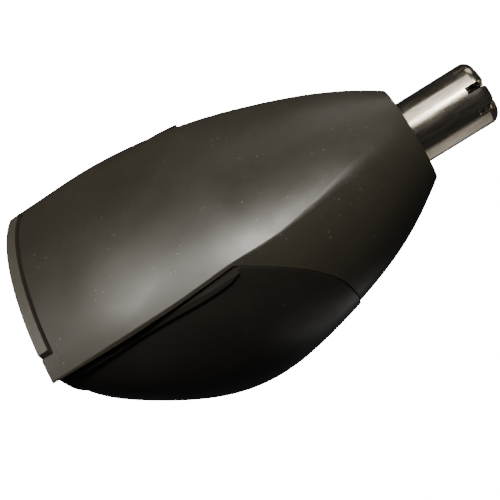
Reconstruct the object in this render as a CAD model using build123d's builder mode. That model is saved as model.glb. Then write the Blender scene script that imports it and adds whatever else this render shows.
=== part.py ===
from build123d import *
from math import acos, atan2, cos, pi, radians, sin, sqrt, tan
import os

os.makedirs("parts", exist_ok=True)

# Click-on nose trimmer head. The cutting axis is Z, the head stands on its
# coupling face at z = 0, and the flat front panel faces -Y.

# ---------------------------------------------------------------- shells
neck_z = 51.5            # end face of the housing, where the tube comes out
neck_r = 6.55
neck_round = 0.6         # rounding of the neck's outer edge
neck_flare = radians(42) # how steeply the neck widens below that edge
bead_proud = 0.5         # raised rim along the rear shell's front edge
bead_w = 0.55
bead_top_z = 25.2
wall = 1.5               # shell wall, measured across the axis
rear_proud = 0.2         # the rear shell stands this much proud of the front
rear_rim_z = 1.1         # bottom rim of the rear shell
rear_front_y = -10.7     # front edge of the rear shell at the base
crease_x = 15.5          # half width of the front panel at the base
apex_y = 16.3            # front panel bulge, ahead of the cutting axis
panel_r = 28.5           # bow of the front panel across its width

# Round body: (height, radius, centre moved forward)
body_stations = [
    (rear_rim_z, 14.5, 10.4),
    (3.2, 15.0, 7.0),
    (7.8, 16.15, 3.6),
    (13.7, 17.3, 0.8),
    (19.7, 17.95, 0.0),
    (25.7, 17.5, 0.0),
    (31.7, 16.0, -0.15),
    (37.7, 14.0, -0.35),
    (43.7, 11.4, -0.35),
    (48.3, 8.75, -0.1),
    (neck_z, neck_r, 0.0),
]

# Front shell's outer form: (height, distance of the front panel ahead of the axis,
# bow radius of the panel, rounding of its long edges, half width, radius of the
# back, back moved forward). A half width of 0 lets the panel end where it meets
# the back. The first and last sections lie outside the shell and are cut off.
form_stations = [
    (-6.44, apex_y - 0.35, panel_r, 0.3, crease_x - 0.1, 10.0, 0.0),
    (0.0, apex_y - 0.05, panel_r, 0.3, crease_x, 11.0, 0.0),
    (6.44, apex_y + 0.08, panel_r, 0.3, crease_x, 12.5, 0.0),
    (12.88, apex_y + 0.03, panel_r, 0.3, crease_x - 0.15, 14.5, 0.0),
    (19.31, apex_y - 0.6, 28.0, 0.3, crease_x - 0.8, 16.5, 0.0),
    (25.75, 14.7, 27.0, 0.35, 0, 17.5, 0.0),
    (32.19, 12.95, 26.0, 0.75, 0, 15.87, -0.17),
    (38.63, 11.15, 23.5, 2.2, 0, 13.6, -0.35),
    (45.06, 9.15, 18.0, 4.6, 0, 10.7, -0.28),
    (neck_z, neck_r, neck_r, neck_r, 0, neck_r, 0.0),
    (57.94, 2.3, 2.3, 2.3, 0, 2.3, 0.0),
]

# Parting line between the two shells in side view: (y, z)
parting = [(-10.35, 26.0), (-8.9, 27.95), (-7.2, 29.95), (-4.2, 32.6), (-0.5, 34.5),
           (6.0, 35.1), (24.0, 35.5)]
parting_gap = 0.12
# Below the parting line: back edge of the front shell's side flanges, and front
# edge of the rear shell, both as (y, z) from the base up
flange_edge = [(-11.45, -5.0), (-11.45, 14.0), (-11.15, 20.0), (-10.8, 25.2)]
rear_edge = [(rear_front_y, -5.0), (rear_front_y, 20.0), (-10.45, 25.2)]

# ---------------------------------------------------------------- base
base_flange_z = 1.0
base_top_z = 2.2
base_r = 14.1
lip_half = 12.6          # half width of the guide lip on the front edge
lip_z = 1.4
lip_proud = 0.4
notch_gap = 0.35
lip_reach = 8.0          # depth of the block the lip and its notch are cut from
lip_mid_y = -15.0

# ---------------------------------------------------------------- nozzle
tube_r = 4.35
tube_wall = 0.5
tube_z0 = 49.0
tube_z1 = 62.3
tube_seat_r = 4.1        # the length held inside the neck
tube_seat_z = neck_z + 0.1
tube_flange_r = 5.4
tube_flange_t = 0.8
tip_round = 1.3
slot_count = 8
slot_w = 0.95
slot_depth = 2.6
slot_turn = 33.5         # bearing of the first slot
slot_inner_r = 1.75      # the middle of the tip stays closed

# ---------------------------------------------------------------- drive
gear_module = 0.35
drive_teeth = 20
pinion_teeth = 12
pressure = radians(25)
gear_z0 = 6.3
gear_t = 1.8
flank_gap = 0.03         # taken off each tooth flank
spindle_r = 1.0
input_r = 1.1
run_gap = 0.03           # radial clearance of each running fit
drive_y = -gear_module * (drive_teeth + pinion_teeth) / 2
floor_z0 = 4.6
floor_z1 = 5.8
cover_z0 = 8.6
cover_z1 = 9.8
case_half = 5.4
case_front = -10.9
case_back = 3.9
case_wall = 1.0
socket_r = 2.2
socket_bore_r = 1.5
socket_z0 = 0.5
socket_z1 = 4.3
socket_depth = 2.4
well_r = 2.7

# ---------------------------------------------------------------- fixings
front_posts = [(-9.3, -11.1), (9.3, -11.1)]
rear_posts = [(-7.6, -1.4), (7.6, -1.4)]
post_r = 1.8
post_z1 = 11.0
screw_r = 0.7
screw_len = 8.4
head_r = 1.25
head_t = 0.9
rib_t = 1.2
rib_reach = 20.0         # ribs run on until they meet the shell
cross_len = 1.5          # cross recess in each screw head
cross_w = 0.3
cover_posts = [(-4.2, -9.7), (4.2, -9.7), (-4.2, 2.7), (4.2, 2.7)]
cover_post_r = 1.1
cover_screw_r = 0.5
cover_head_r = 0.85
cover_head_t = 0.45
fit_gap = 0.05           # between pieces that are fixed to each other

# ---------------------------------------------------------------- neck stack
carrier_z0 = 43.2
carrier_z1 = 45.2
carrier_boss_r = 5.4
bush_r = 1.8
lower_bush_r = 1.45
thrust_z = 3.7
thrust_t = 0.2
seal_t = 0.5
sleeve_r = 2.3
sleeve_bore_r = 1.5
clip_t = 0.3
clip_r = 1.85
shoulder_z = 52.4        # where the spindle turns square
square = 1.3
square_gap = 0.03
spring_seat_t = 0.3
spring_r = 1.35
wire_r = 0.17
coils = 6
hub_r = 1.5
hub_z0 = 57.0
disc_z0 = 58.9
disc_t = 0.9
blade_inner_r = 2.2
blade_t = 0.5
blade_count = 4
cutter_r = 3.77
cutter_top = tube_z1 - tube_wall - 0.03

on_base = (Align.CENTER, Align.CENTER, Align.MIN)
span = 60.0              # wider than the head, for cutting blocks
through = 5.0            # longer than any floor or cover a hole goes through


def body(inset):
    """Egg-shaped body, drawn in by inset all round."""
    with BuildPart() as shape:
        for z, r, ahead in body_stations:
            with BuildSketch(Plane.XY.offset(z)):
                with Locations((0, -ahead)):
                    Circle(r - inset)
        loft()
    return shape.part


def panel_space(inset):
    """All the space behind the front panel, drawn in by inset."""
    back = 30.0
    spread = radians(65)
    with BuildPart() as shape:
        for z, ahead, bow, *_ in form_stations:
            bow = max(bow, 9.5)
            r = bow - inset
            middle = bow - ahead
            edge_y = middle - r * cos(spread)
            edge_x = r * sin(spread)
            with BuildSketch(Plane.XY.offset(z)):
                with BuildLine():
                    ThreePointArc((-edge_x, edge_y), (0, middle - r), (edge_x, edge_y))
                    Polyline((edge_x, edge_y), (edge_x, back), (-edge_x, back), (-edge_x, edge_y))
                make_face()
        loft()
    return shape.part


def polar(centre_y, r, bearing):
    """Point on a circle centred on the Y axis; bearing 0 is the front, -Y."""
    return (r * sin(bearing), centre_y - r * cos(bearing))


def front_outline(ahead, bow, corner, half, r, forward):
    """Front arc, two rounded corners and back arc of one section; returns its points."""
    front_y = bow - ahead
    back_y = -forward
    if half:
        meet_y = front_y - sqrt(bow ** 2 - half ** 2)
        rear = r - forward
        back_y = (rear ** 2 - meet_y ** 2 - half ** 2) / (2 * (rear - meet_y))
        r = rear - back_y
    gap = front_y - back_y
    if gap < 0.01:
        bends = (radians(24), radians(34), radians(45))
        return [polar(0, r, bend) for bend in bends] + [r]
    reach_front = bow - corner
    reach_back = r - corner
    y = (reach_back ** 2 - reach_front ** 2 - back_y ** 2 + front_y ** 2) / (2 * gap)
    x = sqrt(reach_back ** 2 - (y - back_y) ** 2)
    on_front = atan2(x, front_y - y)
    on_back = atan2(x, back_y - y)
    middle = (on_front + on_back) / 2
    return [polar(front_y, bow, on_front), (x + corner * sin(middle), y - corner * cos(middle)),
            polar(back_y, r, on_back), back_y + r]


def front_form():
    """Outer form of the front shell: front panel, soft creases and round back."""
    sections = []
    for z, ahead, bow, corner, half, r, forward in form_stations:
        panel_end, corner_mid, body_end, rear = front_outline(ahead, bow, corner, half, r,
                                                              forward)
        arcs = [
            ThreePointArc((-panel_end[0], panel_end[1]), (0, -ahead), panel_end),
            ThreePointArc(panel_end, corner_mid, body_end),
            ThreePointArc(body_end, (0, rear), (-body_end[0], body_end[1])),
            ThreePointArc((-body_end[0], body_end[1]), (-corner_mid[0], corner_mid[1]),
                          (-panel_end[0], panel_end[1])),
        ]
        sections.append((Pos(0, 0, z) * Face(Wire(arcs))).outer_wire())
    with BuildPart() as shape:
        add(Solid.make_loft(sections))
        Box(span, span, neck_z, align=on_base, mode=Mode.INTERSECT)
    return shape.part


def neck_rim():
    """The waste outside the neck's rounded outer edge."""
    half_turn = (pi / 2 - neck_flare) / 2
    reach = neck_round * tan(half_turn)
    middle = (neck_r - reach, neck_z - neck_round)
    bend = (middle[0] + neck_round * sin(half_turn), middle[1] + neck_round * cos(half_turn))
    low = (neck_r + reach * sin(neck_flare), neck_z - reach * cos(neck_flare))
    outside = 2 * neck_r
    with BuildPart() as shape:
        with BuildSketch(Plane.XZ):
            with BuildLine():
                ThreePointArc((middle[0], neck_z), bend, low)
                Polyline(low, (outside, low[1]), (outside, neck_z + 1), (middle[0], neck_z + 1),
                         (middle[0], neck_z))
            make_face()
        revolve(axis=Axis.Z)
    return shape.part


def side_space(edge, drop, front):
    """Side-view region on the front side or the rear side of the parting line."""
    far = 40.0
    line = [(y, z - drop) for y, z in parting]
    edge_line = [(y, z - drop) for y, z in reversed(edge)]
    with BuildPart() as shape:
        with BuildSketch(Plane.YZ):
            with BuildLine():
                bend = Spline(*line)
                if front:
                    Polyline(bend @ 1, (far, line[-1][1]), (far, 80), (-far, 80),
                             (-far, edge_line[-1][1]), edge_line[-1])
                else:
                    Polyline(bend @ 1, (far, line[-1][1]), (far, edge_line[-1][1]),
                             edge_line[-1])
                Polyline(bend @ 0, *edge_line)
            make_face()
        extrude(amount=far, both=True)
    return shape.part


def shifted(edge, back):
    """The same edge moved back along Y."""
    return [(y + back, z) for y, z in edge]


def gear_outline(teeth, turn):
    """Points round an involute spur gear, with one tooth centred on turn."""
    pitch_r = gear_module * teeth / 2
    base = pitch_r * cos(pressure)
    tip = pitch_r + gear_module
    root = pitch_r - 1.25 * gear_module
    start = max(base, root)
    radii = [start, (start + tip) / 2, tip]
    half_pitch = pi / (2 * teeth) - flank_gap / pitch_r

    def half_angle(r):
        slope = acos(min(1.0, base / r))
        return half_pitch + (tan(pressure) - pressure) - (tan(slope) - slope)

    points = []
    for k in range(teeth):
        mid = radians(turn) + 2 * pi * k / teeth
        side = [(root, half_angle(start))] + [(r, half_angle(r)) for r in radii]
        for r, a in side:
            points.append((r * cos(mid - a), r * sin(mid - a)))
        for r, a in reversed(side):
            points.append((r * cos(mid + a), r * sin(mid + a)))
    return points


def at(x, y, z):
    """Place what follows at a point, standing on it."""
    return Locations((x, y, z))


def save(piece, name):
    """Label one piece and write its STEP file."""
    piece.part.label = name
    export_step(piece.part, f"parts/{name}.step")
    boxed = piece.part.bounding_box()
    print(f"{name:20s} {len(piece.part.solids())} solid(s) {piece.part.volume:9.2f} mm3",
          [round(v, 2) for v in (*boxed.min, *boxed.max)])


# ================================================================ shells
inner_body = body(wall)
inner_panel = panel_space(wall)
front_region = side_space(flange_edge, 0, True)
rear_region = side_space(rear_edge, parting_gap, False)

shield_top = 26.0
neck_bore_z = 47.0
neck_lip_z = 49.85

with BuildPart() as shield_hollow:
    Box(span, span, shield_top - wall / 2, align=on_base)

with BuildPart() as inner_space:
    add(inner_body)
    add(shield_hollow.part)
    add(inner_panel, mode=Mode.INTERSECT)
    with at(0, 0, neck_bore_z):
        Box(span, span, neck_z, align=on_base, mode=Mode.SUBTRACT)

with BuildPart() as front_shell:
    add(front_form())
    add(neck_rim(), mode=Mode.SUBTRACT)
    add(front_region, mode=Mode.INTERSECT)
    add(inner_space.part, mode=Mode.SUBTRACT)
    with at(0, 0, neck_bore_z - 0.5):
        Cylinder(carrier_boss_r + fit_gap, neck_lip_z - neck_bore_z + 0.5, align=on_base,
                 mode=Mode.SUBTRACT)
    with at(0, 0, neck_lip_z - 1):
        Cylinder(tube_seat_r + fit_gap, neck_z, align=on_base, mode=Mode.SUBTRACT)
    with Locations((0, lip_mid_y, 0)):
        Box(2 * (lip_half + notch_gap), lip_reach, lip_z + notch_gap, align=on_base,
            mode=Mode.SUBTRACT)
    for x, y in front_posts:
        with at(x, y, base_top_z):
            Cylinder(post_r, post_z1 - base_top_z, align=on_base)
        with Locations((x, y - post_r, base_top_z)):
            Box(rib_t, post_r, post_z1 - base_top_z, align=on_base)
        with at(x, y, base_top_z):
            Cylinder(screw_r, screw_len, align=on_base, mode=Mode.SUBTRACT)
save(front_shell, "front_shell")



def edge_bead():
    """Raised rim down both front edges of the rear shell."""
    with BuildPart() as shape:
        add(body(-rear_proud - bead_proud))
        add(body(wall / 3), mode=Mode.SUBTRACT)
        with BuildPart(mode=Mode.PRIVATE) as strip:
            with BuildSketch(Plane.YZ):
                with BuildLine():
                    edge = rear_front_y
                    Polyline((edge, 0), (edge + bead_w, 0), (edge + bead_w, bead_top_z - 1.0),
                             (edge + 0.15, bead_top_z + 1.4), (edge, bead_top_z + 1.4), close=True)
                make_face()
            extrude(amount=span / 2, both=True)
        add(strip.part, mode=Mode.INTERSECT)
        add(rear_region, mode=Mode.INTERSECT)
    return shape.part


with BuildPart() as rear_shell:
    add(body(-rear_proud))
    add(rear_region, mode=Mode.INTERSECT)
    add(inner_body, mode=Mode.SUBTRACT)
    add(edge_bead(), mode=Mode.ADD)
    for x, y in rear_posts:
        with at(x, y, base_top_z):
            Cylinder(post_r, post_z1 - base_top_z, align=on_base)
        with BuildPart(mode=Mode.PRIVATE) as rib:
            with Locations((x, y + rib_reach / 2, base_top_z)):
                Box(rib_t, rib_reach, post_z1 - base_top_z, align=on_base)
            add(body(wall / 2), mode=Mode.INTERSECT)
        add(rib.part)
        with at(x, y, base_top_z):
            Cylinder(screw_r, screw_len, align=on_base, mode=Mode.SUBTRACT)
save(rear_shell, "rear_shell")

gasket_t = 0.9
gasket_lap = 1.1
with BuildPart() as shell_gasket:
    add(body(wall + fit_gap))
    add(panel_space(wall + fit_gap), mode=Mode.INTERSECT)
    add(body(wall + gasket_t), mode=Mode.SUBTRACT)
    add(side_space(shifted(rear_edge, gasket_lap), gasket_lap, True), mode=Mode.INTERSECT)
    add(side_space(shifted(flange_edge, -gasket_lap / 3), -gasket_lap, True), mode=Mode.SUBTRACT)
    Box(span, span, 2 * (base_top_z + fit_gap), mode=Mode.SUBTRACT)
    add(front_shell.part, mode=Mode.SUBTRACT)
save(shell_gasket, "shell_gasket")

# ================================================================ base
base_mid_y = -10.9
base_inner_r = 12.8
window_x = 11.0
window_w = 1.4
window_len = 4.0
recess_len = 13.0
recess_w = 8.6
recess_z = 0.6

with BuildPart() as base_plate:
    with at(0, base_mid_y, 0):
        Cylinder(base_r, base_flange_z, align=on_base)
    with at(0, base_mid_y + base_r - base_inner_r - 1.1, 0):
        Cylinder(base_inner_r, base_top_z, align=on_base)
    add(panel_space(wall + fit_gap), mode=Mode.INTERSECT)
    with BuildSketch():
        with Locations((0, drive_y)):
            SlotOverall(recess_len, recess_w)
    extrude(amount=recess_z, mode=Mode.SUBTRACT)
    with at(0, drive_y, 0.5):
        Cylinder(well_r + case_wall, floor_z0 - 0.5, align=on_base)
    with at(0, drive_y, 0):
        Cylinder(well_r, floor_z0, align=on_base, mode=Mode.SUBTRACT)
    for x, y in front_posts + rear_posts:
        with at(x, y, 0):
            Cylinder(head_r + fit_gap, head_t + 0.2, align=on_base, mode=Mode.SUBTRACT)
            Cylinder(screw_r + fit_gap, base_top_z, align=on_base, mode=Mode.SUBTRACT)
    with Locations((-window_x, drive_y, 0), (window_x, drive_y, 0)):
        Box(window_w, window_len, base_top_z, align=on_base, mode=Mode.SUBTRACT)
save(base_plate, "base_plate")

with BuildPart() as guide_lip:
    with Locations((0, lip_mid_y, 0)):
        Box(2 * lip_half, lip_reach, lip_z, align=on_base)
    add(panel_space(-lip_proud), mode=Mode.INTERSECT)
    add(inner_panel, mode=Mode.SUBTRACT)
save(guide_lip, "guide_lip")

with BuildPart() as housing_screws:
    for x, y in front_posts + rear_posts:
        with at(x, y, 0.2):
            Cylinder(head_r, head_t, align=on_base)
            Cylinder(screw_r, base_top_z + screw_len - 1.0, align=on_base)
        with at(x, y, 0.2):
            Box(cross_len, cross_w, head_t / 2, align=on_base, mode=Mode.SUBTRACT)
            Box(cross_w, cross_len, head_t / 2, align=on_base, mode=Mode.SUBTRACT)
save(housing_screws, "housing_screws")

# ================================================================ gear case
case_mid_y = (case_front + case_back) / 2
case_len = case_back - case_front
case_round = 1.6
spindle_boss_r = 1.85
spindle_boss_z = 3.3

with BuildPart() as gear_case:
    with BuildSketch(Plane.XY.offset(floor_z0)):
        with Locations((0, case_mid_y)):
            RectangleRounded(2 * case_half, case_len, case_round)
    extrude(amount=cover_z0 - floor_z0)
    with BuildSketch(Plane.XY.offset(floor_z1)):
        with Locations((0, case_mid_y)):
            RectangleRounded(2 * (case_half - case_wall), case_len - 2 * case_wall,
                             case_round - case_wall)
    extrude(amount=cover_z0 - floor_z1, mode=Mode.SUBTRACT)
    for x, y in cover_posts:
        with at(x, y, floor_z0):
            Cylinder(cover_post_r, cover_z0 - floor_z0, align=on_base)
        with at(x, y, floor_z1):
            Cylinder(cover_screw_r, cover_z0, align=on_base, mode=Mode.SUBTRACT)
    with at(0, 0, spindle_boss_z):
        Cylinder(spindle_boss_r, floor_z0 - spindle_boss_z, align=on_base)
    with at(0, 0, thrust_z):
        Cylinder(spindle_r + fit_gap, floor_z0, align=on_base, mode=Mode.SUBTRACT)
    with at(0, 0, floor_z0):
        Cylinder(lower_bush_r, floor_z0, align=on_base, mode=Mode.SUBTRACT)
    with at(0, drive_y, floor_z0 - 1):
        Cylinder(bush_r + 0.1, floor_z0, align=on_base, mode=Mode.SUBTRACT)
save(gear_case, "gear_case")

with BuildPart() as gear_cover:
    with BuildSketch(Plane.XY.offset(cover_z0)):
        with Locations((0, case_mid_y)):
            RectangleRounded(2 * case_half, case_len, case_round)
    extrude(amount=cover_z1 - cover_z0)
    with at(0, 0, cover_z0):
        Cylinder(spindle_r + run_gap, through, align=on_base, mode=Mode.SUBTRACT)
    with at(0, drive_y, cover_z0):
        Cylinder(input_r + run_gap, through, align=on_base, mode=Mode.SUBTRACT)
    for x, y in cover_posts:
        with at(x, y, cover_z0):
            Cylinder(cover_screw_r + fit_gap, through, align=on_base, mode=Mode.SUBTRACT)
save(gear_cover, "gear_cover")

with BuildPart() as cover_screws:
    for x, y in cover_posts:
        with at(x, y, floor_z1 + 0.3):
            Cylinder(cover_screw_r, cover_z1 - floor_z1, align=on_base)
        with at(x, y, cover_z1):
            Cylinder(cover_head_r, cover_head_t, align=on_base)
            with Locations((0, 0, 0.25)):
                Box(1.1, 0.25, 1.0, align=on_base, mode=Mode.SUBTRACT)
save(cover_screws, "cover_screws")


def ring(x, y, z, inner, outer, tall):
    """Plain washer or bush standing at a point."""
    with BuildPart() as shape:
        with at(x, y, z):
            Cylinder(outer, tall, align=on_base)
            Cylinder(inner, tall, align=on_base, mode=Mode.SUBTRACT)
    return shape


bush_top = floor_z1 + 0.2
save(ring(0, 0, floor_z0, spindle_r + run_gap, lower_bush_r, bush_top - floor_z0),
     "spindle_bush_lower")
save(ring(0, drive_y, floor_z0, input_r + run_gap, bush_r + 0.1, bush_top - floor_z0), "input_bush")
save(ring(0, drive_y, socket_z1 + 0.05, input_r + run_gap, well_r - 0.1, 0.22), "input_seal")

with BuildPart() as thrust_disc:
    with at(0, 0, thrust_z):
        Cylinder(spindle_r, thrust_t, align=on_base)
save(thrust_disc, "thrust_disc")

# ================================================================ input drive
with BuildPart() as input_shaft:
    with at(0, drive_y, socket_z0 + socket_depth + 0.3):
        Cylinder(input_r, cover_z1 - 0.2 - socket_z0 - socket_depth - 0.3, align=on_base)
save(input_shaft, "input_shaft")

key_w = 0.8
key_z = 1.1
with BuildPart() as drive_socket:
    with at(0, drive_y, socket_z0):
        Cylinder(socket_r, socket_z1 - socket_z0, align=on_base)
        Cylinder(socket_bore_r, socket_depth, align=on_base, mode=Mode.SUBTRACT)
        Box(2 * socket_r, key_w, key_z, align=on_base, mode=Mode.SUBTRACT)
    with at(0, drive_y, socket_z0 + socket_depth + 0.3):
        Cylinder(input_r, through, align=on_base, mode=Mode.SUBTRACT)
save(drive_socket, "drive_socket")


def gear(x, y, teeth, bore, turn):
    """Spur gear at a point, with its bore."""
    with BuildPart() as shape:
        with BuildSketch(Plane((x, y, gear_z0))):
            with BuildLine():
                Polyline(*gear_outline(teeth, turn), close=True)
            make_face()
        extrude(amount=gear_t)
        with at(x, y, gear_z0):
            Cylinder(bore, gear_t, align=on_base, mode=Mode.SUBTRACT)
    return shape


half_tooth = 180 / pinion_teeth
save(gear(0, drive_y, drive_teeth, input_r, 90), "drive_gear")
save(gear(0, 0, pinion_teeth, spindle_r, -90 + half_tooth), "spindle_pinion")


def clip(x, y, z, inner):
    """Spring clip: a thin open ring."""
    with BuildPart() as shape:
        with at(x, y, z):
            Cylinder(clip_r, clip_t, align=on_base)
            Cylinder(inner, clip_t, align=on_base, mode=Mode.SUBTRACT)
        with Locations((x + clip_r, y, z)):
            Box(2 * clip_r, 1.2 * inner, clip_t, align=on_base, mode=Mode.SUBTRACT)
    return shape


clip_z = gear_z0 + gear_t + 0.05
save(clip(0, drive_y, clip_z, input_r), "input_clip")
save(clip(0, 0, clip_z, spindle_r), "spindle_clip")

# ================================================================ spindle line
with BuildPart() as spindle:
    with at(0, 0, thrust_z + thrust_t + 0.02):
        Cylinder(spindle_r, shoulder_z - thrust_z - thrust_t - 0.02, align=on_base)
    with at(0, 0, shoulder_z):
        Box(square, square, disc_z0 + disc_t - shoulder_z - 0.7, align=on_base)
save(spindle, "spindle")

save(ring(0, 0, cover_z1, sleeve_bore_r, sleeve_r, carrier_z0 - cover_z1), "spindle_sleeve")

with BuildPart() as nozzle_carrier:
    with at(0, 0, carrier_z0):
        Cylinder(span / 3, carrier_z1 - carrier_z0, align=on_base)
    add(body(wall + fit_gap), mode=Mode.INTERSECT)
    add(panel_space(wall + fit_gap), mode=Mode.INTERSECT)
    with at(0, 0, carrier_z1):
        Cylinder(carrier_boss_r, tube_z0 - carrier_z1, align=on_base)
    with at(0, 0, carrier_z0):
        Cylinder(sleeve_bore_r, 2 * through, align=on_base, mode=Mode.SUBTRACT)
    with at(0, 0, carrier_z1 - 0.2):
        Cylinder(bush_r, 2 * through, align=on_base, mode=Mode.SUBTRACT)
save(nozzle_carrier, "nozzle_carrier")

upper_bush_top = tube_z0 - seal_t - 0.1
save(ring(0, 0, carrier_z1 - 0.2, spindle_r + run_gap, bush_r, upper_bush_top - carrier_z1 + 0.2),
     "spindle_bush_upper")
save(ring(0, 0, upper_bush_top, spindle_r + run_gap, bush_r, seal_t), "spindle_seal")

with BuildPart() as cutter_tube:
    with at(0, 0, tube_seat_z):
        Cylinder(tube_r, tube_z1 - tube_seat_z, align=on_base)
    fillet(cutter_tube.edges().group_by(Axis.Z)[-1], tip_round)
    with at(0, 0, tube_z0):
        Cylinder(tube_seat_r, tube_seat_z - tube_z0, align=on_base)
        Cylinder(tube_flange_r, tube_flange_t, align=on_base)
    with BuildPart(mode=Mode.PRIVATE) as tube_hollow:
        with at(0, 0, tube_z0):
            Cylinder(tube_r - tube_wall, tube_z1 - tube_wall - tube_z0, align=on_base)
        fillet(tube_hollow.edges().group_by(Axis.Z)[-1], tip_round - tube_wall)
    add(tube_hollow.part, mode=Mode.SUBTRACT)
    with BuildPart(mode=Mode.PRIVATE) as slots:
        for k in range(slot_count):
            turn = slot_turn + 360 * k / slot_count
            with Locations(Location((0, 0, tube_z1 - slot_depth), (0, 0, turn))):
                with Locations((slot_inner_r, 0, 0)):
                    Box(tube_r, slot_w, slot_depth + 1, align=(Align.MIN, Align.CENTER, Align.MIN))
    add(slots.part, mode=Mode.SUBTRACT)
save(cutter_tube, "cutter_tube")

with BuildPart() as spring_seat:
    with at(0, 0, shoulder_z):
        Cylinder(spring_r + 0.3, spring_seat_t, align=on_base)
        Box(square, square, spring_seat_t, align=on_base, mode=Mode.SUBTRACT)
save(spring_seat, "spring_seat")

spring_z0 = shoulder_z + spring_seat_t + wire_r
spring_len = hub_z0 - spring_z0 - wire_r - 0.02
with BuildPart() as cutter_spring:
    with BuildLine(Plane.XY.offset(spring_z0)):
        coil = Helix(spring_len / coils, spring_len, spring_r)
    with BuildSketch(Plane(origin=coil @ 0, z_dir=coil % 0)):
        Circle(wire_r)
    sweep()
save(cutter_spring, "cutter_spring")

with BuildPart() as inner_cutter:
    with at(0, 0, disc_z0):
        Cylinder(cutter_r, cutter_top - disc_z0, align=on_base)
    fillet(inner_cutter.edges().group_by(Axis.Z)[-1], tip_round - tube_wall + 0.1)
    with BuildPart(mode=Mode.PRIVATE) as blades:
        for k in range(blade_count):
            turn = slot_turn + 180 / slot_count + 360 * k / blade_count
            with Locations(Location((0, 0, disc_z0), (0, 0, turn))):
                with Locations((blade_inner_r, 0, 0)):
                    Box(cutter_r, blade_t, cutter_top,
                        align=(Align.MIN, Align.CENTER, Align.MIN))
        with at(0, 0, disc_z0):
            Cylinder(cutter_r + 1, disc_t, align=on_base)
    add(blades.part, mode=Mode.INTERSECT)
    with at(0, 0, hub_z0):
        Cylinder(hub_r, disc_z0 + disc_t - hub_z0, align=on_base)
    with at(0, 0, hub_z0):
        Box(square + 2 * square_gap, square + 2 * square_gap, disc_z0 + disc_t - hub_z0,
            align=on_base, mode=Mode.SUBTRACT)
save(inner_cutter, "inner_cutter")
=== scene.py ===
import math

import bpy
from mathutils import Matrix, Vector

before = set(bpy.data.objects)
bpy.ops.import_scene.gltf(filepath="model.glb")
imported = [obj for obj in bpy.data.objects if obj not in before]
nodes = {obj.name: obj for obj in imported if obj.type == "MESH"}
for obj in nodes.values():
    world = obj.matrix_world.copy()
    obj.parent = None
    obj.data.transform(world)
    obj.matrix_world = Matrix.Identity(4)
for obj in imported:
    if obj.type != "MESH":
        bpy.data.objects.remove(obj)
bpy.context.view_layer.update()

# Texture scales are in cells per metre, and bump depths in metres.
cloud_scale = 70.0
dust_scale = 1100.0
dust_patch_scale = 220.0
dust_colour = (0.30, 0.28, 0.24, 1.0)
blot_scale = 160.0
spark_scale = 9000.0
spark_depth = 0.00003
wave_scale = 60.0
wave_strength = 0.10
wave_depth = 0.0004
line_depth = 0.00002
floor_cloud_scale = 3.0

# The background is white to the camera only, and lights nothing.
camera_white = 20.0
bounce_level = 0.03
floor_half = 6.0
floor_drop = 0.0002


# ---------------------------------------------------------------- materials
def material(name):
    """New node material: its tree, its shader and a helper that adds nodes."""
    mat = bpy.data.materials.new(name)
    mat.use_nodes = True
    tree = mat.node_tree
    shader = tree.nodes["Principled BSDF"]

    def add(kind, **values):
        node = tree.nodes.new(kind)
        for key, value in values.items():
            if key in node.inputs:
                node.inputs[key].default_value = value
            else:
                setattr(node, key, value)
        return node

    return mat, tree, shader, add


def ramp(tree, node_out, stops, smooth=True):
    """Colour ramp fed by an output; stops are (position, colour or grey)."""
    node = tree.nodes.new("ShaderNodeValToRGB")
    node.color_ramp.interpolation = "EASE" if smooth else "LINEAR"
    while len(node.color_ramp.elements) < len(stops):
        node.color_ramp.elements.new(0.5)
    for element, (place, colour) in zip(node.color_ramp.elements, stops):
        element.position = place
        grey = isinstance(colour, (int, float))
        rgb = (colour, colour, colour) if grey else colour
        element.color = (*rgb, 1.0)
    tree.links.new(node_out, node.inputs["Fac"])
    return node.outputs["Color"]


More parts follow.
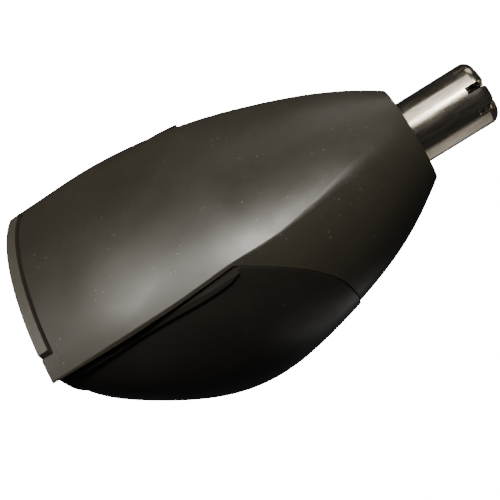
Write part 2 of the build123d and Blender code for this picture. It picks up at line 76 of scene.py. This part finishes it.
def moulded(name, dark, light, rough, grain=0.12, smudge=0.08, dust=0.0, seed=0.0):
    """Moulded plastic: cloudy colour, spark texture, smudges and dust specks."""
    mat, tree, shader, add = material(name)
    link = tree.links.new
    coord = add("ShaderNodeTexCoord").outputs["Object"]
    shift = add("ShaderNodeMapping")
    shift.inputs["Location"].default_value = (seed, seed * 0.7, -seed)
    link(coord, shift.inputs["Vector"])
    place = shift.outputs["Vector"]

    cloud = add("ShaderNodeTexNoise", Scale=cloud_scale, Detail=5.0, Roughness=0.55)
    link(place, cloud.inputs["Vector"])
    tone = ramp(tree, cloud.outputs["Fac"], [(0.3, dark), (0.7, light)])

    # Dust specks gather where the patch noise is high.
    cell = add("ShaderNodeTexVoronoi", Scale=dust_scale)
    link(place, cell.inputs["Vector"])
    speck = ramp(tree, cell.outputs["Distance"], [(0.06, dust), (0.14, 0.0)],
                 smooth=False)
    patch = add("ShaderNodeTexNoise", Scale=dust_patch_scale, Detail=3.0)
    link(place, patch.inputs["Vector"])
    where = ramp(tree, patch.outputs["Fac"], [(0.50, 0.0), (0.62, 1.0)],
                 smooth=False)
    both = add("ShaderNodeMath", operation="MULTIPLY")
    link(speck, both.inputs[0])
    link(where, both.inputs[1])
    mixed = add("ShaderNodeMix", data_type="RGBA")
    link(both.outputs["Value"], mixed.inputs[0])
    link(tone, mixed.inputs[6])
    mixed.inputs[7].default_value = dust_colour
    link(mixed.outputs[2], shader.inputs["Base Color"])

    blot = add("ShaderNodeTexNoise", Scale=blot_scale, Detail=4.0, Roughness=0.6,
               Distortion=0.8)
    link(place, blot.inputs["Vector"])
    span = add("ShaderNodeMapRange")
    span.inputs["From Min"].default_value = 0.3
    span.inputs["From Max"].default_value = 0.7
    span.inputs["To Min"].default_value = rough - smudge / 2
    span.inputs["To Max"].default_value = rough + smudge / 2
    link(blot.outputs["Fac"], span.inputs["Value"])
    link(span.outputs["Result"], shader.inputs["Roughness"])
    shader.inputs["Specular IOR Level"].default_value = 0.5

    spark = add("ShaderNodeTexNoise", Scale=spark_scale, Detail=2.0, Roughness=0.5)
    link(place, spark.inputs["Vector"])
    wave = add("ShaderNodeTexNoise", Scale=wave_scale, Detail=2.0)
    link(place, wave.inputs["Vector"])
    bump = add("ShaderNodeBump", Strength=grain, Distance=spark_depth)
    link(spark.outputs["Fac"], bump.inputs["Height"])
    flow = add("ShaderNodeBump", Strength=wave_strength, Distance=wave_depth)
    link(wave.outputs["Fac"], flow.inputs["Height"])
    link(flow.outputs["Normal"], bump.inputs["Normal"])
    link(bump.outputs["Normal"], shader.inputs["Normal"])
    return mat


def metal(name, colour, rough, brushed, scale, depth, tint=0.12):
    """Metal with drawn or ground lines; brushed squeezes the lines per axis."""
    mat, tree, shader, add = material(name)
    link = tree.links.new
    coord = add("ShaderNodeTexCoord").outputs["Object"]
    squeeze = add("ShaderNodeMapping")
    squeeze.inputs["Scale"].default_value = brushed
    link(coord, squeeze.inputs["Vector"])
    lines = add("ShaderNodeTexNoise", Scale=scale, Detail=4.0, Roughness=0.6)
    link(squeeze.outputs["Vector"], lines.inputs["Vector"])
    worn = tuple(c * (1 - tint) for c in colour)
    link(ramp(tree, lines.outputs["Fac"], [(0.35, worn), (0.65, colour)]),
         shader.inputs["Base Color"])
    span = add("ShaderNodeMapRange")
    span.inputs["To Min"].default_value = rough * 0.75
    span.inputs["To Max"].default_value = rough * 1.35
    link(lines.outputs["Fac"], span.inputs["Value"])
    link(span.outputs["Result"], shader.inputs["Roughness"])
    bump = add("ShaderNodeBump", Strength=depth, Distance=line_depth)
    link(lines.outputs["Fac"], bump.inputs["Height"])
    link(bump.outputs["Normal"], shader.inputs["Normal"])
    shader.inputs["Metallic"].default_value = 1.0
    return mat


def plain(name, colour, rough, glow):
    """Plain pale floor, glowing so that it looks white to the camera."""
    mat, tree, shader, add = material(name)
    coord = add("ShaderNodeTexCoord").outputs["Object"]
    cloud = add("ShaderNodeTexNoise", Scale=floor_cloud_scale, Detail=3.0)
    tree.links.new(coord, cloud.inputs["Vector"])
    low = tuple(c * 0.985 for c in colour)
    tree.links.new(ramp(tree, cloud.outputs["Fac"], [(0.3, low), (0.7, colour)]),
                   shader.inputs["Base Color"])
    shader.inputs["Roughness"].default_value = rough
    shader.inputs["Emission Color"].default_value = (1, 1, 1, 1)
    shader.inputs["Emission Strength"].default_value = glow
    return mat


# Plastics and rubber: dark tone, light tone, roughness.
# Front shell: the same dark plastic as the rear shell, painted lighter to stand in
# for the front light on its panel.
shell_front_painted_light = moulded("shell_front_painted_light", (0.025, 0.022, 0.016), (0.031, 0.028, 0.020),
                      0.36, grain=0.2, smudge=0.10, dust=0.30)
shell_rear = moulded("shell_rear", (0.010, 0.009, 0.007), (0.014, 0.013, 0.010),
                     0.34, grain=0.2, dust=0.12, seed=0.3)
base_black = moulded("base_black", (0.010, 0.009, 0.008), (0.014, 0.013, 0.011),
                     0.45, seed=0.6)
# Guide lip: painted light, its colour raised to stand in for the light falling on
# its lit face.
lip_painted_light = moulded("lip_painted_light", (0.050, 0.045, 0.036), (0.060, 0.055, 0.044),
                   0.42, seed=0.4)
inner_grey = moulded("inner_grey", (0.42, 0.41, 0.38), (0.50, 0.49, 0.46),
                     0.45, seed=0.9)
acetal = moulded("acetal", (0.62, 0.60, 0.54), (0.70, 0.68, 0.62), 0.35, seed=1.2)
rubber = moulded("rubber", (0.008, 0.008, 0.008), (0.014, 0.014, 0.013),
                 0.7, grain=0.3, seed=1.5)

# Metals: colour, roughness, squeeze per axis, line scale, line depth.
polished = metal("polished_steel", (0.70, 0.62, 0.52), 0.20, (1, 1, 0.2),
                 1800.0, 0.10, tint=0.30)
ground = metal("ground_steel", (0.56, 0.55, 0.53), 0.28, (1, 1, 6), 1200.0, 0.08)
plated = metal("plated_steel", (0.50, 0.50, 0.50), 0.25, (1, 1, 1), 900.0, 0.06)
brass = metal("brass", (0.70, 0.50, 0.22), 0.30, (1, 1, 5), 1100.0, 0.08)

finish = {
    shell_front_painted_light: ["front_shell"],
    shell_rear: ["rear_shell"],
    base_black: ["base_plate", "nozzle_carrier"],
    lip_painted_light: ["guide_lip"],
    inner_grey: ["gear_case", "gear_cover", "spindle_sleeve"],
    acetal: ["drive_gear", "drive_socket"],
    rubber: ["shell_gasket", "input_seal", "spindle_seal"],
    polished: ["cutter_tube"],
    ground: ["spindle", "input_shaft", "inner_cutter", "thrust_disc"],
    plated: ["housing_screws", "cover_screws", "input_clip", "spindle_clip",
             "spring_seat", "cutter_spring"],
    brass: ["spindle_bush_lower", "spindle_bush_upper", "input_bush",
            "spindle_pinion"],
}
for mat, names in finish.items():
    for name in names:
        slots = nodes[name].material_slots
        for slot in slots:
            slot.material = mat
        if not slots:
            nodes[name].data.materials.append(mat)


# ---------------------------------------------------------------- floor
corners = [(-floor_half, -floor_half, 0), (floor_half, -floor_half, 0),
           (floor_half, floor_half, 0), (-floor_half, floor_half, 0)]
floor_mesh = bpy.data.meshes.new("floor")
floor_mesh.from_pydata(corners, [], [(0, 1, 2, 3)])
floor = bpy.data.objects.new("floor", floor_mesh)
floor.location = (0, 0, -floor_drop)
floor_mesh.materials.append(plain("floor_white", (0.92, 0.92, 0.92), 0.8,
                                  camera_white))
bpy.context.scene.collection.objects.link(floor)
# Hidden from every ray but the camera's, so it gives no bounce and no shadow.
floor.visible_diffuse = False
floor.visible_glossy = False
floor.visible_shadow = False


# ---------------------------------------------------------------- lights
centre = (0.0, 0.0, 0.03)
panel_foot = (0, 0, 0.015)
tube_mid = (0, 0, 0.056)
warm = (1.0, 0.97, 0.90)


def soft_light(name, place, aim, size, power):
    """Soft warm area light at place that faces aim; the camera can't see it."""
    data = bpy.data.lights.new(name, "AREA")
    data.shape = "RECTANGLE"
    data.size, data.size_y = size
    data.energy = power
    data.color = warm
    light = bpy.data.objects.new(name, data)
    light.location = place
    facing = Vector(aim) - Vector(place)
    light.rotation_euler = facing.to_track_quat("-Z", "Y").to_euler()
    light.visible_camera = False
    bpy.context.scene.collection.objects.link(light)


soft_light("front", (0.03, -0.55, -0.07), centre, (0.44, 0.12), 0.9)
soft_light("highlight", (0.065, -0.45, -0.035), panel_foot, (0.05, 0.06), 0.55)
soft_light("streak", (0.115, -0.50, 0.22), centre, (0.05, 0.16), 3.2)
soft_light("left", (-0.45, -0.30, 0.35), centre, (0.3, 0.3), 0.35)
# The tube mirrors these two, which draw its bright bands.
soft_light("tube_front", (-0.01, -0.55, 0.112), tube_mid, (0.60, 0.06), 0.34)
soft_light("tube_back", (0.215, 0.506, 0.112), tube_mid, (0.60, 0.06), 0.07)

world = bpy.data.worlds.new("studio")
bpy.context.scene.world = world
world.use_nodes = True
sky = world.node_tree
background = sky.nodes["Background"]
seen = sky.nodes.new("ShaderNodeLightPath")
level = sky.nodes.new("ShaderNodeMapRange")
level.inputs["To Min"].default_value = bounce_level
level.inputs["To Max"].default_value = camera_white
sky.links.new(seen.outputs["Is Camera Ray"], level.inputs["Value"])
sky.links.new(level.outputs["Result"], background.inputs["Strength"])
background.inputs["Color"].default_value = (1, 1, 1, 1)


# ---------------------------------------------------------------- camera
# Bearing is measured from -Y towards +X, rise above the floor plane.
bearing = math.radians(44.2)
rise = math.radians(7.6)
roll = math.radians(58.41)
distance = 0.1302
aim_z = 0.0256
aim_side = 0.00189
sensor_mm = 36.0
lens_mm = 70.3728

side = Vector((math.cos(bearing), math.sin(bearing), 0))
back = Vector((math.sin(bearing) * math.cos(rise),
               -math.cos(bearing) * math.cos(rise), math.sin(rise)))
target = side * aim_side + Vector((0, 0, aim_z))
up_flat = back.cross(side)
right = side * math.cos(roll) + up_flat * math.sin(roll)
up = -side * math.sin(roll) + up_flat * math.cos(roll)
camera_data = bpy.data.cameras.new("camera")
camera = bpy.data.objects.new("camera", camera_data)
bpy.context.scene.collection.objects.link(camera)
turn = Matrix((right, up, back)).transposed().to_4x4()
camera.matrix_world = Matrix.Translation(target + back * distance) @ turn
camera_data.sensor_width = sensor_mm
camera_data.lens = lens_mm
camera_data.clip_start = 0.005
camera_data.clip_end = 50
bpy.context.scene.camera = camera
